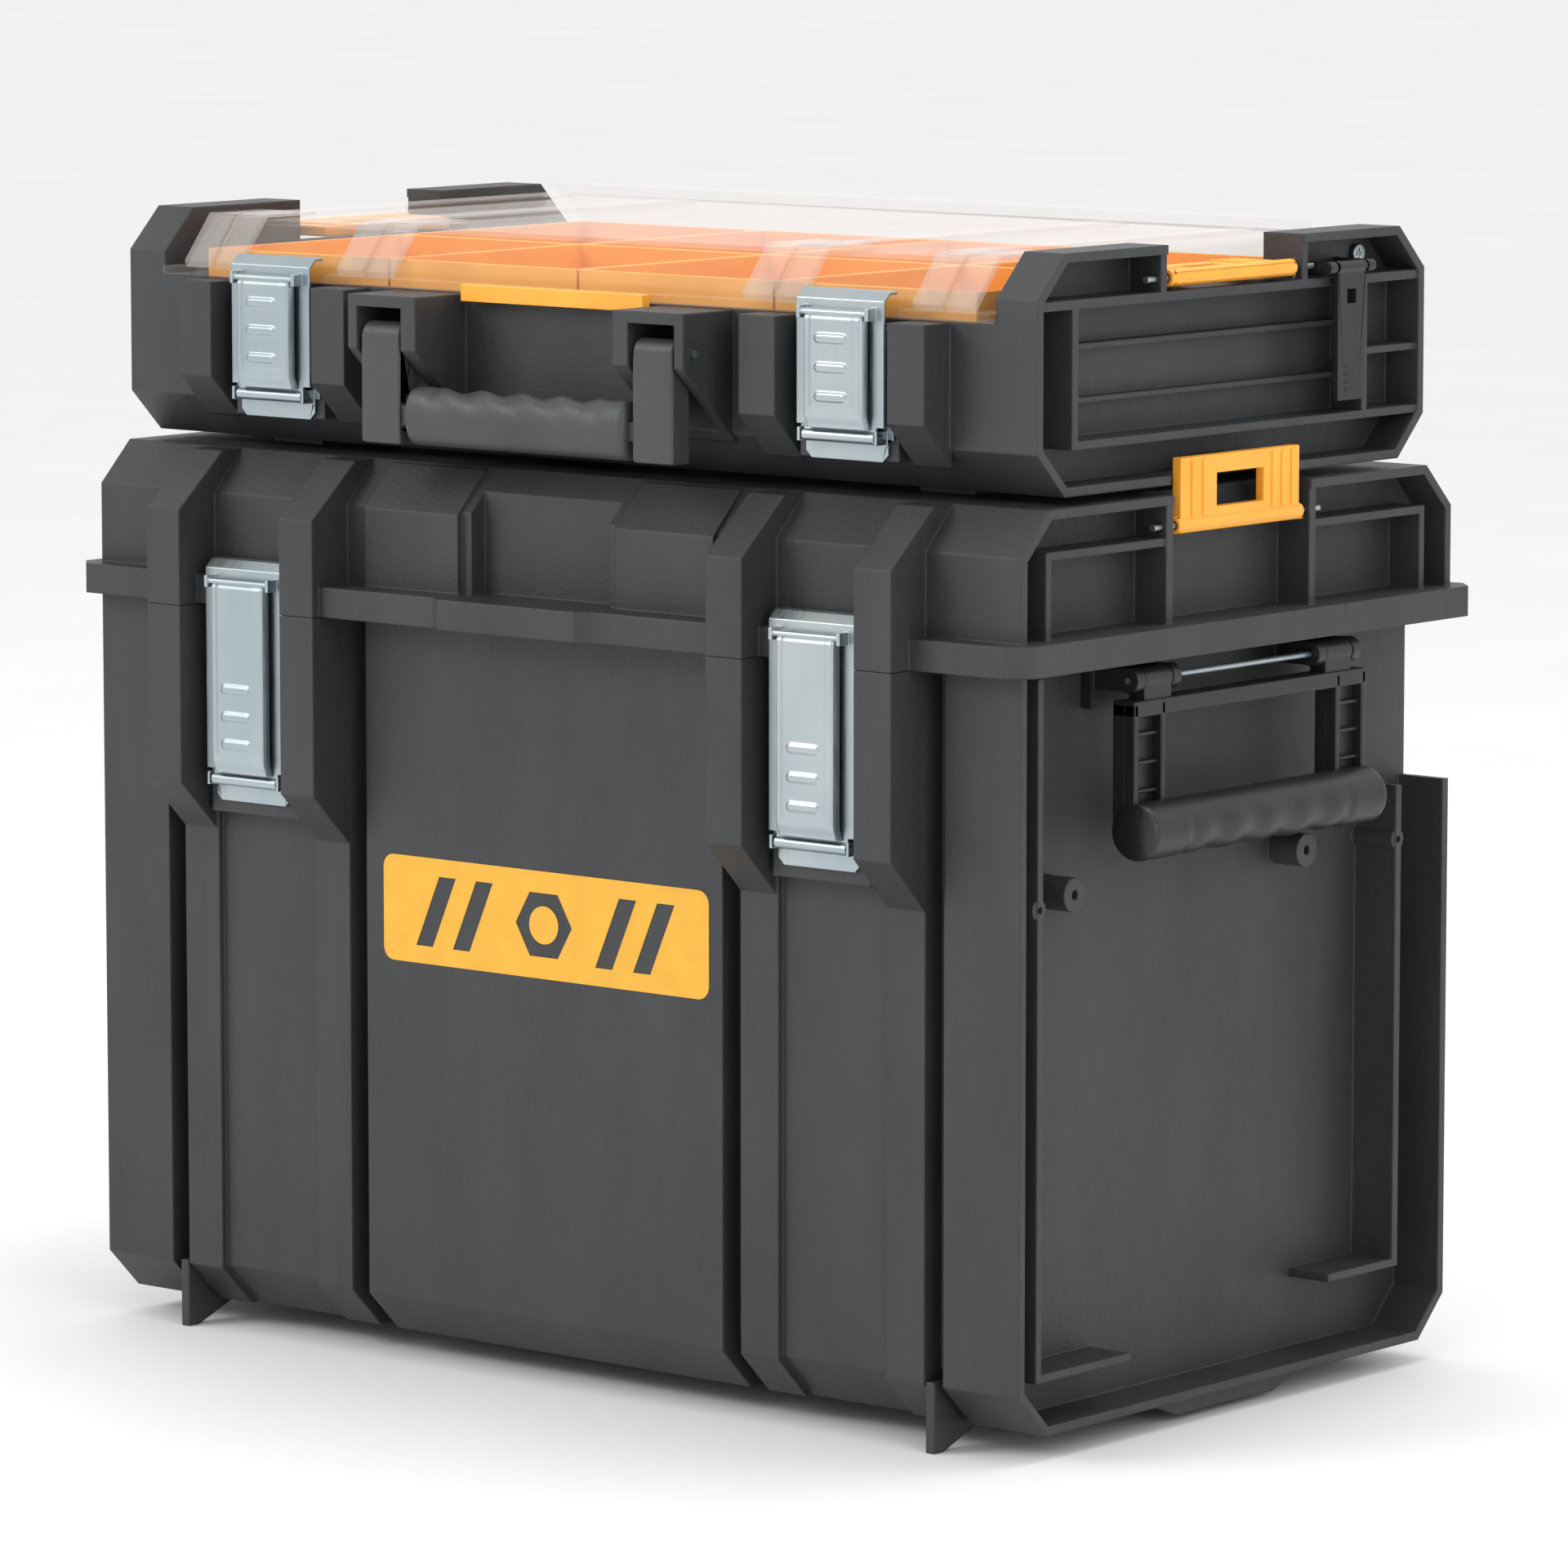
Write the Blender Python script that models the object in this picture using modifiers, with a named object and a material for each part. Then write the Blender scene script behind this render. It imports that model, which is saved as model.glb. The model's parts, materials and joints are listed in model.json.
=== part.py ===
"""Two stacked tool cases: a deep lidded case and a shallow organiser with a clear lid.

Metres, +Z up, front towards -Y. The feet's tips stand on z = 0.
"""
import math

import bmesh
import bpy
from mathutils import Matrix, Vector

# ---- deep case -------------------------------------------------------------
case_width = 0.537
case_depth = 0.311
case_wall = 0.004
foot_height = 0.011
tub_height = 0.327
lid_height = 0.069
corner_chamfer = 0.019
flange_height = 0.0135
flange_reach = 0.011
side_recess = 0.0245
front_groove_depth = 0.012

# ---- organiser case --------------------------------------------------------
organizer_width = 0.528
organizer_depth = 0.279
organizer_height = 0.103
organizer_rim = 0.073
cheek_width = 0.022
organizer_side_recess = 0.018
stack_gap = 0.004

# ---- latches, handles and hinges -------------------------------------------
latch_spacing = 0.332
latch_width = 0.048
latch_room = 0.007  # from a latch to the rib beside it
rib_width = 0.020
rib_reach = 0.0235
organizer_rib_reach = 0.0175
sheet = 0.0015
pin_radius = 0.0015
hinge_radius = 0.0050
side_handle_length = 0.168
side_handle_drop = 0.0645
grip_radius = 0.0125
carry_handle_span = 0.181
carry_handle_drop = 0.048
stack_latch_length = 0.086
stack_latch_height = 0.0325
bin_columns = 4
bin_rows = 2
bin_wall = 0.0016

# ---- fits ------------------------------------------------------------------
gap = 0.0003
loose = 0.0010
hair = 0.00005  # keeps two shoulders of one outline off the same line

# ---- derived ---------------------------------------------------------------
case_x = case_width / 2
case_y = case_depth / 2
tub_floor = foot_height
parting = tub_floor + tub_height
lid_base = parting + gap
lid_top = parting + lid_height
flange_top = lid_base + flange_height
wall_x = case_x - side_recess
organizer_x = organizer_width / 2
organizer_y = organizer_depth / 2
organizer_base = lid_top + stack_gap
organizer_top = organizer_base + organizer_height
organizer_edge = organizer_base + organizer_rim
organizer_wall_x = organizer_x - organizer_side_recess
cheek_inner = organizer_x - cheek_width
latch_xs = (-latch_spacing / 2, latch_spacing / 2)
rib_inner = latch_width / 2 + latch_room
rib_outer = rib_inner + rib_width
pad_half = latch_width / 2 + 0.003
lever_half = latch_width / 2 - 0.007
sides = (("left", -1), ("right", 1))

palette = {
    "charcoal": ((0.045, 0.047, 0.050), 0.62, 0.0),
    "black": ((0.022, 0.023, 0.025), 0.55, 0.0),
    "grey": ((0.075, 0.078, 0.082), 0.5, 0.0),
    "zinc": ((0.62, 0.66, 0.68), 0.32, 1.0),
    "steel": ((0.45, 0.46, 0.47), 0.35, 1.0),
    "amber": ((0.92, 0.40, 0.035), 0.45, 0.0),
    "rubber": ((0.02, 0.02, 0.02), 0.85, 0.0),
    "clear": ((0.86, 0.86, 0.84), 0.08, 0.0),
}


def material(colour):
    """One Principled material for each colour in the palette."""
    found = bpy.data.materials.get(colour)
    if found:
        return found
    base, roughness, metallic = palette[colour]
    made = bpy.data.materials.new(colour)
    made.use_nodes = True
    shader = made.node_tree.nodes["Principled BSDF"]
    shader.inputs["Base Color"].default_value = (*base, 1.0)
    shader.inputs["Roughness"].default_value = roughness
    shader.inputs["Metallic"].default_value = metallic
    if colour == "clear":
        shader.inputs["Alpha"].default_value = 0.35
    return made


def block(x, y, z):
    """A box between the given pairs of limits."""
    bm = bmesh.new()
    size = Vector((x[1] - x[0], y[1] - y[0], z[1] - z[0]))
    middle = Vector((x[0] + x[1], y[0] + y[1], z[0] + z[1])) / 2
    bmesh.ops.create_cube(bm, size=1.0, matrix=Matrix.Translation(middle) @ Matrix.Diagonal(size).to_4x4())
    return bm


def rod(axis, centre, radius, span, sides_count=24):
    """A cylinder along one axis; centre gives the other two coordinates in order."""
    bm = bmesh.new()
    length = span[1] - span[0]
    bmesh.ops.create_cone(bm, cap_ends=True, segments=sides_count, radius1=radius, radius2=radius,
                          depth=length)
    middle = (span[0] + span[1]) / 2
    if axis == "X":
        turn = Matrix.Rotation(math.pi / 2, 4, "Y")
        place = Vector((middle, centre[0], centre[1]))
    elif axis == "Y":
        turn = Matrix.Rotation(math.pi / 2, 4, "X")
        place = Vector((centre[0], middle, centre[1]))
    else:
        turn = Matrix.Identity(4)
        place = Vector((centre[0], centre[1], middle))
    bmesh.ops.transform(bm, matrix=Matrix.Translation(place) @ turn, verts=bm.verts)
    return bm


def prism(plane, points, span):
    """A flat outline in the plane, filled and extruded between the two limits."""
    curve = bpy.data.curves.new("outline", "CURVE")
    curve.dimensions = "2D"
    curve.fill_mode = "BOTH"
    curve.extrude = (span[1] - span[0]) / 2
    spline = curve.splines.new("POLY")
    spline.points.add(len(points) - 1)
    for point, (u, v) in zip(spline.points, points):
        point.co = (u, v, 0.0, 1.0)
    spline.use_cyclic_u = True
    holder = bpy.data.objects.new("outline", curve)
    bpy.context.scene.collection.objects.link(holder)
    seen = holder.evaluated_get(bpy.context.evaluated_depsgraph_get())
    mesh = bpy.data.meshes.new_from_object(seen)
    bm = bmesh.new()
    bm.from_mesh(mesh)
    bmesh.ops.remove_doubles(bm, verts=bm.verts, dist=1e-6)
    bmesh.ops.dissolve_limit(bm, angle_limit=0.002, verts=bm.verts, edges=bm.edges)
    frames = {
        "YZ": Matrix(((0, 0, 1), (1, 0, 0), (0, 1, 0))),
        "XZ": Matrix(((1, 0, 0), (0, 0, -1), (0, 1, 0))),
        "XY": Matrix(((1, 0, 0), (0, 1, 0), (0, 0, 1))),
    }
    middle = (span[0] + span[1]) / 2
    shift = {"YZ": (middle, 0, 0), "XZ": (0, middle, 0), "XY": (0, 0, middle)}[plane]
    move = Matrix.Translation(Vector(shift)) @ frames[plane].to_4x4()
    bmesh.ops.transform(bm, matrix=move, verts=bm.verts)
    bmesh.ops.recalc_face_normals(bm, faces=bm.faces)
    bpy.data.objects.remove(holder)
    bpy.data.curves.remove(curve)
    bpy.data.meshes.remove(mesh)
    return bm


def object_from(name, shapes, collection):
    """One object holding the meshes of all the shapes."""
    mesh = bpy.data.meshes.new(name)
    joined = bmesh.new()
    for shape in shapes:
        held = bpy.data.meshes.new("held")
        shape.to_mesh(held)
        shape.free()
        joined.from_mesh(held)
        bpy.data.meshes.remove(held)
    joined.to_mesh(mesh)
    joined.free()
    made = bpy.data.objects.new(name, mesh)
    collection.objects.link(made)
    return made


def piece(name, colour, start, steps=(), pivot=None, bevel=0.0):
    """A sub-part: a starting shape with groups of shapes joined to it or cut from it."""
    made = object_from(name, [start], parts)
    made.data.materials.append(material(colour))
    for count, (action, group) in enumerate(steps):
        tool = object_from(f"{name}_{action}_{count}", group, cutters)
        tool.hide_render = True
        tool.display_type = "WIRE"
        change = made.modifiers.new(f"{action}_{count}", "BOOLEAN")
        change.operation = "UNION" if action == "join" else "DIFFERENCE"
        change.solver = "EXACT"
        change.object = tool
    if bevel:
        soften = made.modifiers.new("soften", "BEVEL")
        soften.width = bevel
        soften.segments = 1
        soften.limit_method = "ANGLE"
        soften.angle_limit = math.radians(50)
    if pivot is not None:
        made.data.transform(Matrix.Translation(-Vector(pivot)))
        made.location = pivot
    made.data.shade_smooth()
    made.data.set_sharp_from_angle(angle=math.radians(35))
    return made


def mirrored(span, side):
    """The same span on the left or the right side."""
    return tuple(sorted((span[0] * side, span[1] * side)))


def around(centre, inner, outer):
    """Two spans, one on each side of a centre."""
    return ((centre - outer, centre - inner), (centre + inner, centre + outer))


def profile(half, low, high, inset=0.0, low_cut=0.0, high_cut=0.0):
    """A case's side outline, with 45 degree corners below or above, set in by a wall."""
    edge = half - inset
    shrink = inset * (2 - math.sqrt(2))
    points = []
    if low_cut:
        leg = low_cut - shrink
        points += [(-edge, low + leg), (-edge + leg, low), (edge - leg, low), (edge, low + leg)]
    else:
        points += [(-edge, low), (edge, low)]
    if high_cut:
        leg = high_cut - shrink
        points += [(edge, high - leg), (edge - leg, high), (-edge + leg, high), (-edge, high - leg)]
    else:
        points += [(edge, high), (-edge, high)]
    return points


def front_groove(depth, spans):
    """Cutters for upright grooves in the tub's front that run on down its bottom chamfer."""
    face = -case_y
    bend = tub_floor + corner_chamfer + 0.414 * depth
    below = tub_floor - 0.001
    outline = [
        (face - 0.01, parting + 0.01),
        (face + depth, parting + 0.01),
        (face + depth, bend),
        (face + depth + bend - below, below),
        (face - 0.01, below),
    ]
    return [prism("YZ", outline[::-1], span) for span in spans]


def hinge_knuckles(xs, y, z, radius, spans):
    """Round hinge knuckles on a sideways axis."""
    return [rod("X", (y, z), radius, (x + a, x + b)) for x in xs for a, b in spans]


# ---- deep case -------------------------------------------------------------
case_hinge_y = case_y + rib_reach - hinge_radius
case_hinge_z = parting
hinge_xs = latch_xs
knuckle_mid = 0.0115
knuckle_end = 0.022
tub_knuckles = ((-knuckle_end, -knuckle_mid - gap), (knuckle_mid + gap, knuckle_end))
hinge_pin_radius = 0.0025
pad_reach = 0.007
pad_y = -case_y - pad_reach
case_latch_foot = parting - 0.0785
case_latch_top = flange_top + 0.0077
post_places = ((-case_y + 0.0485, parting - 0.0980), (case_y - 0.0955, parting - 0.0965))
boss_places = ((-case_y + 0.0162, parting - 0.1005), (case_y - 0.0350, parting - 0.0975))
rail_front = case_y - 0.0375
rear_rail_top = parting - 0.0733


def tub_side(side):
    """What stands in one side recess of the tub: ribs, screw bosses, posts and the low catch."""
    inner, outer = wall_x - 0.001, case_x - 0.002
    front_out, rear_out = -case_y + 0.0145, case_y - 0.0330
    front_in, rear_in = front_out + 0.0035, rear_out - 0.0040
    front_end, rear_end = front_out + 0.0660, rear_out - 0.0525
    front_low, rear_low = tub_floor + 0.0230, tub_floor + 0.0360
    front_rib = [(front_out, parting - 0.002), (front_out, front_low), (front_end, front_low),
                 (front_end, front_low + 0.0035), (front_in, front_low + 0.0035), (front_in, parting - 0.002)]
    rear_rib = [(rear_out, rear_rail_top), (rear_in, rear_rail_top), (rear_in, rear_low + 0.0035),
                (rear_end, rear_low + 0.0035), (rear_end, rear_low), (rear_out, rear_low)]
    catch = [(-0.061, tub_floor + 0.0025), (-0.035, tub_floor - 0.0080), (0.035, tub_floor - 0.0080),
             (0.061, tub_floor + 0.0025)]
    span = mirrored((inner, outer), side)
    ribs = [prism("YZ", front_rib, span), prism("YZ", rear_rib, span)]
    low = [prism("YZ", catch, mirrored((case_x - 0.0110, case_x - 0.0065), side))]
    bosses = [rod("X", place, 0.0045, mirrored((inner, outer - 0.0006), side), 16)
              for place in boss_places]
    posts = [rod("X", place, 0.0075, mirrored((inner, wall_x + 0.016), side)) for place in post_places]
    holes = [rod("X", place, 0.0022, mirrored((wall_x + 0.006, wall_x + 0.02), side), 12)
             for place in post_places]
    holes += [rod("X", place, 0.0016, mirrored((outer - 0.010, outer + 0.01), side), 12)
              for place in boss_places]
    return ribs, low, bosses + posts, holes


def case_tub():
    """The deep tub: hollow, grooved in front, with framed side recesses, latch ribs and feet."""
    start = prism("YZ", profile(case_y, tub_floor, parting, low_cut=corner_chamfer), (-case_x, case_x))
    inside_front = -case_y + front_groove_depth + 0.006
    inside_floor = tub_floor + 0.0055
    inside_rear = case_y - case_wall
    cavity = [
        (inside_front, parting + 0.01), (inside_front, inside_floor + corner_chamfer),
        (inside_front + corner_chamfer, inside_floor), (inside_rear - corner_chamfer, inside_floor),
        (inside_rear, inside_floor + corner_chamfer), (inside_rear, parting + 0.01),
    ]
    inner_x = wall_x - case_wall
    steps = [("cut", [prism("YZ", cavity, (-inner_x, inner_x))])]
    recess = profile(case_y, tub_floor + case_wall, parting + 0.02, inset=case_wall, low_cut=corner_chamfer)
    steps.append(("cut", [prism("YZ", recess, mirrored((wall_x, case_x + 0.01), side)) for _, side in sides]))
    rail = ((rail_front, case_y + 0.01), (rear_rail_top, parting + 0.01))
    steps.append(("cut", [block(mirrored((wall_x, case_x + 0.01), side), *rail) for _, side in sides]))
    grooves = [span for x in latch_xs for span in around(x, rib_outer, rib_outer + 0.0105)]
    steps.append(("cut", front_groove(front_groove_depth, grooves)))
    strips = [(x - rib_inner + 0.001, x + rib_inner - 0.001) for x in latch_xs]
    steps.append(("cut", front_groove(0.003, strips)))
    low = case_latch_foot - 0.002
    rib = [(-case_y + 0.002, parting), (-case_y + 0.002, low - rib_reach - 0.002),
           (-case_y - rib_reach, low), (-case_y - rib_reach, parting)]
    ribs = [prism("YZ", rib, span) for x in latch_xs for span in around(x, rib_inner, rib_outer)]
    steps.append(("join", ribs))
    pad = ((pad_y, -case_y + 0.008), (case_latch_foot - 0.016, parting - 0.0065))
    steps.append(("join", [block((x - pad_half, x + pad_half), *pad) for x in latch_xs]))
    for _, side in sides:
        side_ribs, low_catch, rounds, holes = tub_side(side)
        steps += [("join", side_ribs), ("join", low_catch), ("join", rounds), ("cut", holes)]
    fin_top = tub_floor + 0.0200
    fin = [(-case_y + 0.0003, fin_top), (-case_y + 0.0003, 0.0), (-case_y + 0.0065, 0.0),
           (-case_y + 0.0385, tub_floor + 0.001), (-case_y + 0.0305, fin_top)]
    rear_fin = [(-y, z) for y, z in fin][::-1]
    fins = [prism("YZ", outline, mirrored((case_x - 0.0505, case_x - 0.0460), side))
            for outline in (fin, rear_fin) for _, side in sides]
    steps.append(("join", fins))
    arm = ((case_y - 0.002, case_hinge_y), (case_hinge_z - 0.012, case_hinge_z - gap))
    arms = [block((x + a, x + b), *arm) for x in hinge_xs for a, b in tub_knuckles]
    steps.append(("join", arms))
    steps.append(("join", hinge_knuckles(hinge_xs, case_hinge_y, case_hinge_z, hinge_radius, tub_knuckles)))
    bores = [rod("X", (case_hinge_y, case_hinge_z), hinge_pin_radius + gap, (x - 0.03, x + 0.03))
             for x in hinge_xs]
    steps.append(("cut", bores))
    return piece("case_tub", "charcoal", start, steps)


lid_recess_x = case_x - 0.018
bay_half = 0.0495


def lid_flange():
    """The rim that stands out round the lid, with stepped lengths between the latch ribs."""
    reach_x = case_x + 0.0085
    reach_y = case_y + flange_reach
    corner = 0.009
    middle = latch_xs[1] - rib_outer
    ledge, bump = -case_y - 0.019, -case_y - 0.0235
    outline = [(-reach_x, -reach_y + corner), (-reach_x + corner, -reach_y), (-middle - 0.003, -reach_y),
               (-middle - 0.003, ledge), (-0.046, ledge), (-0.040, bump), (0.040, bump), (0.046,
                                                                                          ledge - hair),
               (middle + 0.003, ledge - hair), (middle + 0.003, -reach_y - hair), (reach_x - corner,
                                                                                   -reach_y - hair),
               (reach_x, -reach_y + corner), (reach_x, reach_y - corner), (reach_x - corner, reach_y),
               (-reach_x + corner, reach_y), (-reach_x, reach_y - corner)]
    tall = (lid_base, flange_top)
    rim = prism("XY", outline, tall)
    gaps = [block((x - rib_inner - 0.001, x + rib_inner + 0.001), (-reach_y - 0.02, -case_y),
                  (lid_base - 0.01, flange_top + 0.01)) for x in latch_xs]
    stub = ((-case_y - 0.012, -case_y + 0.002), (lid_base + 0.0002, flange_top - 0.0003))
    clear = latch_width / 2 + loose
    stubs = [block(span, *stub) for x in latch_xs for span in around(x, clear, rib_inner + 0.0015)]
    return rim, gaps, stubs


def lid_side(side):
    """The ribs in one side recess of the lid, round the bay where the stack latch swings."""
    span = mirrored((lid_recess_x - 0.001, case_x - 0.0008), side)
    walls = [block(span, y, (flange_top - 0.001, lid_top - 0.0008))
             for y in around(0, bay_half, bay_half + 0.0045)]
    outside, inside = -case_y + 0.0185, -case_y + 0.0220
    under, over = lid_top - 0.0215, lid_top - 0.0180
    shelf = [(outside, flange_top - 0.001), (inside, flange_top - 0.001), (inside, under),
             (-bay_half - 0.002, under), (-bay_half - 0.002, over), (outside, over)]
    behind = [(-y, z) for y, z in shelf][::-1]
    low = mirrored((lid_recess_x - 0.001, case_x - 0.0014), side)
    return walls, [prism("YZ", shelf, low), prism("YZ", behind, low)]


stack_hinge_x = case_x - 0.004
stack_hinge_z = lid_top - 0.0135
stack_pin_half = 0.060


def case_lid():
    """The lid: a hollow shell with a rim, tall latch ribs and framed side recesses."""
    start = prism("YZ", profile(case_y, lid_base + 0.0002, lid_top, high_cut=corner_chamfer),
                  (-case_x, case_x))
    rim, gaps, stubs = lid_flange()
    steps = [("join", [rim]), ("cut", gaps), ("join", stubs)]
    recess = profile(case_y, flange_top, lid_top - case_wall, inset=case_wall, high_cut=corner_chamfer)
    steps.append(("cut", [prism("YZ", recess, mirrored((lid_recess_x, case_x + 0.01), side))
                          for _, side in sides]))
    bay = ((-bay_half, bay_half), (flange_top, lid_top + 0.01))
    steps.append(("cut", [block(mirrored((lid_recess_x, case_x + 0.01), side), *bay) for _, side in sides]))
    for _, side in sides:
        walls, shelves = lid_side(side)
        steps += [("join", walls), ("join", shelves)]
    rib = [(-case_y + 0.02, lid_base), (-case_y - rib_reach, lid_base),
           (-case_y - rib_reach, lid_top - 0.0255),
           (-case_y + 0.0055, lid_top - 0.0005), (-case_y + 0.02, lid_top - 0.0005)]
    ribs = [prism("YZ", rib[::-1], span) for x in latch_xs for span in around(x, rib_inner, rib_outer)]
    steps.append(("join", ribs))
    brow = [(-case_y + 0.01, flange_top - 0.001), (-case_y - 0.003, flange_top - 0.001),
            (-case_y - 0.003, lid_top - 0.0200), (-case_y + 0.0155, lid_top - 0.001), (-case_y + 0.03,
                                                                                       lid_top - 0.001)]
    steps.append(("join", [prism("YZ", brow[::-1], span) for span in around(0, 0.046, 0.102)]))
    steps.append(("cut", [block((-0.0405, 0.0405), (-case_y - 0.01, -case_y + 0.009),
                                (flange_top, lid_top + 0.01))]))
    inner_x = wall_x - case_wall - 0.001
    hollow = profile(case_y - 0.013, lid_base - 0.01, lid_top - 0.0045, high_cut=0.0075)
    steps.append(("cut", [prism("YZ", hollow, (-inner_x, inner_x))]))
    seal_outer, seal_inner = gasket_outlines(gap)
    seal_span = (lid_base - 0.01, lid_base + 0.0035)
    ring = [
        block((-seal_outer[0], seal_outer[0]), (-seal_outer[1], -seal_inner[1]), seal_span),
        block((-seal_outer[0], seal_outer[0]), (seal_inner[2], seal_outer[2]), seal_span),
        block((-seal_outer[0], -seal_inner[0]), (-seal_inner[1], seal_inner[2]), seal_span),
        block((seal_inner[0], seal_outer[0]), (-seal_inner[1], seal_inner[2]), seal_span),
    ]
    for part_of_ring in ring:
        steps.append(("cut", [part_of_ring]))
    arm = ((case_y + flange_reach - 0.004, case_hinge_y), (lid_base + 0.001, lid_base + 0.0060))
    steps.append(("join", [block((x - knuckle_mid, x + knuckle_mid), *arm) for x in hinge_xs]))
    middle = ((-knuckle_mid, knuckle_mid),)
    steps.append(("join", hinge_knuckles(hinge_xs, case_hinge_y, case_hinge_z, hinge_radius, middle)))
    bores = [rod("X", (case_hinge_y, case_hinge_z), hinge_pin_radius + gap, (x - 0.03, x + 0.03))
             for x in hinge_xs]
    bores += [rod("Y", (stack_hinge_x * side, stack_hinge_z), pin_radius + gap, (-0.065, 0.065), 16)
              for _, side in sides]
    steps.append(("cut", bores))
    return piece("case_lid", "charcoal", start, steps, pivot=(0, case_hinge_y, case_hinge_z))


def gasket_outlines(clearance):
    """Half width, front and rear of the seal's outer and inner edges."""
    outer = (wall_x - 0.0005 + clearance, case_y - 0.005 + clearance, case_y - 0.001 + clearance)
    inner = (wall_x - 0.0035 - clearance, case_y - 0.008 - clearance, case_y - 0.004 - clearance)
    return outer, inner


def lid_gasket():
    """The square rubber ring in the groove under the lid."""
    outer, inner = gasket_outlines(0.0)
    span = (lid_base + gap, lid_base + 0.0032)
    start = block((-outer[0], outer[0]), (-outer[1], outer[2]), span)
    hole = block((-inner[0], inner[0]), (-inner[1], inner[2]), (span[0] - 0.01, span[1] + 0.01))
    return piece("lid_gasket", "rubber", start, [("cut", [hole])])


def hinge_pins():
    """One steel pin through the knuckles of each rear hinge of the deep case."""
    for (name, _), x in zip(sides, hinge_xs):
        pin = rod("X", (case_hinge_y, case_hinge_z), hinge_pin_radius,
                  (x - knuckle_end - 0.0005, x + knuckle_end + 0.0005))
        piece(f"lid_hinge_pin_{name}", "steel", pin, pivot=(x, case_hinge_y, case_hinge_z))


# ---- metal latches ---------------------------------------------------------
def latch_set(prefix, side_name, x, face_y, foot, top, tip_y, wing_top):
    """A latch: a fixed plate, a hook hinged at the plate's foot and a lever hinged at the hook's top."""
    half = latch_width / 2
    plate_y = (face_y - gap - sheet, face_y - gap)
    axis_y = face_y - 0.0058
    wings = [(-half - 0.0015, wing_top), (-half - 0.0035, wing_top - 0.001), (-half - 0.0035, foot + 0.012),
             (-half - 0.0015, foot + 0.007), (-half - 0.0015, foot - 0.001), (-half + 0.0015, foot - 0.001),
             (-half + 0.0015, foot - 0.0075), (-half + 0.0045, foot - 0.0105)]
    outline = wings + [(-u, v + hair) for u, v in wings[::-1]]
    plate = prism("XZ", [(x + u, v) for u, v in outline], plate_y)
    ears = [block(span, (axis_y - 0.003, face_y - gap - 0.0006), (foot - 0.0028, foot + 0.0032))
            for span in around(x, half - 0.0035, half - 0.0020)]
    bore = [rod("X", (axis_y, foot), pin_radius + gap, (x - 0.04, x + 0.04), 16)]
    piece(f"{prefix}_plate_{side_name}", "zinc", plate, [("join", ears), ("cut", bore)])
    pin = rod("X", (axis_y, foot), pin_radius, (x - half + 0.0015, x + half - 0.0015), 16)
    piece(f"{prefix}_pin_{side_name}", "steel", pin, pivot=(x, axis_y, foot))

    web = (axis_y - sheet / 2, axis_y + sheet / 2)
    upper = top - 0.004
    bend = [(web[0], foot + 0.002), (web[1], foot + 0.002), (web[1], upper - 0.0006),
            (web[1] + 0.0035, top - sheet),
            (tip_y, top - sheet), (tip_y, top), (web[1] + 0.0026, top), (web[0], upper)]
    hook = prism("YZ", bend, (x - half, x + half))
    foot_curl = [rod("X", (axis_y, foot), 0.0028, (x - half + 0.0042, x + half - 0.0042), 20)]
    foot_gap = [block(span, (axis_y - 0.01, axis_y + 0.01), (foot - 0.01, foot + 0.0045))
                for span in around(x, half - 0.0042, half + 0.01)]
    lever_y, lever_z = axis_y - 0.0042, top - 0.0095
    lugs = [block(span, (lever_y - 0.0022, web[1] - 0.0002), (lever_z - 0.003, lever_z + 0.0025))
            for span in around(x, lever_half + 0.0008, lever_half + 0.0028)]
    rivet = [rod("X", (lever_y, lever_z), pin_radius, (x - lever_half - 0.0018, x + lever_half + 0.0018), 16)]
    steps = [("cut", foot_gap), ("join", foot_curl),
             ("cut", [rod("X", (axis_y, foot), pin_radius + gap, (x - 0.04, x + 0.04), 16)]),
             ("join", lugs), ("join", rivet)]
    piece(f"{prefix}_hook_{side_name}", "zinc", hook, steps, pivot=(x, axis_y, foot))

    front = lever_y - 0.0028
    low = foot + 0.0035
    skin = [(front, low + 0.010), (front + sheet, low + 0.0096), (front + sheet, lever_z + 0.0012),
            (front, lever_z + 0.0012)]
    lip = [(front, low + 0.011), (front + 0.0002, low + 0.006), (front + 0.0018, low),
           (front + 0.0032, low), (front + 0.0016, low + 0.0065), (front + sheet, low + 0.011)]
    lever = prism("YZ", skin[::-1], (x - lever_half, x + lever_half))
    cheeks = [prism("YZ", [(front + 0.0004, low + 0.012), (lever_y + 0.0020, low + 0.012),
                           (lever_y + 0.0020, lever_z + 0.0010), (front + 0.0004, lever_z + 0.0010)], span)
              for span in around(x, lever_half - 0.0015, lever_half)]
    bars = []
    for row in range(3):
        height = foot + 0.013 + 0.0125 * row
        bars.append(block((x - lever_half + 0.0042, x + lever_half - 0.0042),
                          (front - 0.0010, front + 0.0006), (height - 0.0022, height + 0.0022)))
    steps = [("join", [prism("YZ", lip, (x - lever_half, x + lever_half))]), ("join", cheeks), ("join", bars),
             ("cut", [rod("X", (lever_y, lever_z), pin_radius + gap, (x - 0.03, x + 0.03), 16)])]
    piece(f"{prefix}_lever_{side_name}", "zinc", lever, steps, pivot=(x, lever_y, lever_z))


def case_latches():
    """The two tall latches of the deep case."""
    for (name, _), x in zip(sides, latch_xs):
        latch_set("case_latch", name, x, pad_y, case_latch_foot, case_latch_top, -case_y - 0.003,
                  parting - 0.0075)


# ---- side handles of the deep case -----------------------------------------
side_axis_x = wall_x + 0.024
side_axis_z = parting - 0.008
side_half = side_handle_length / 2
side_leg = 0.022


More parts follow.
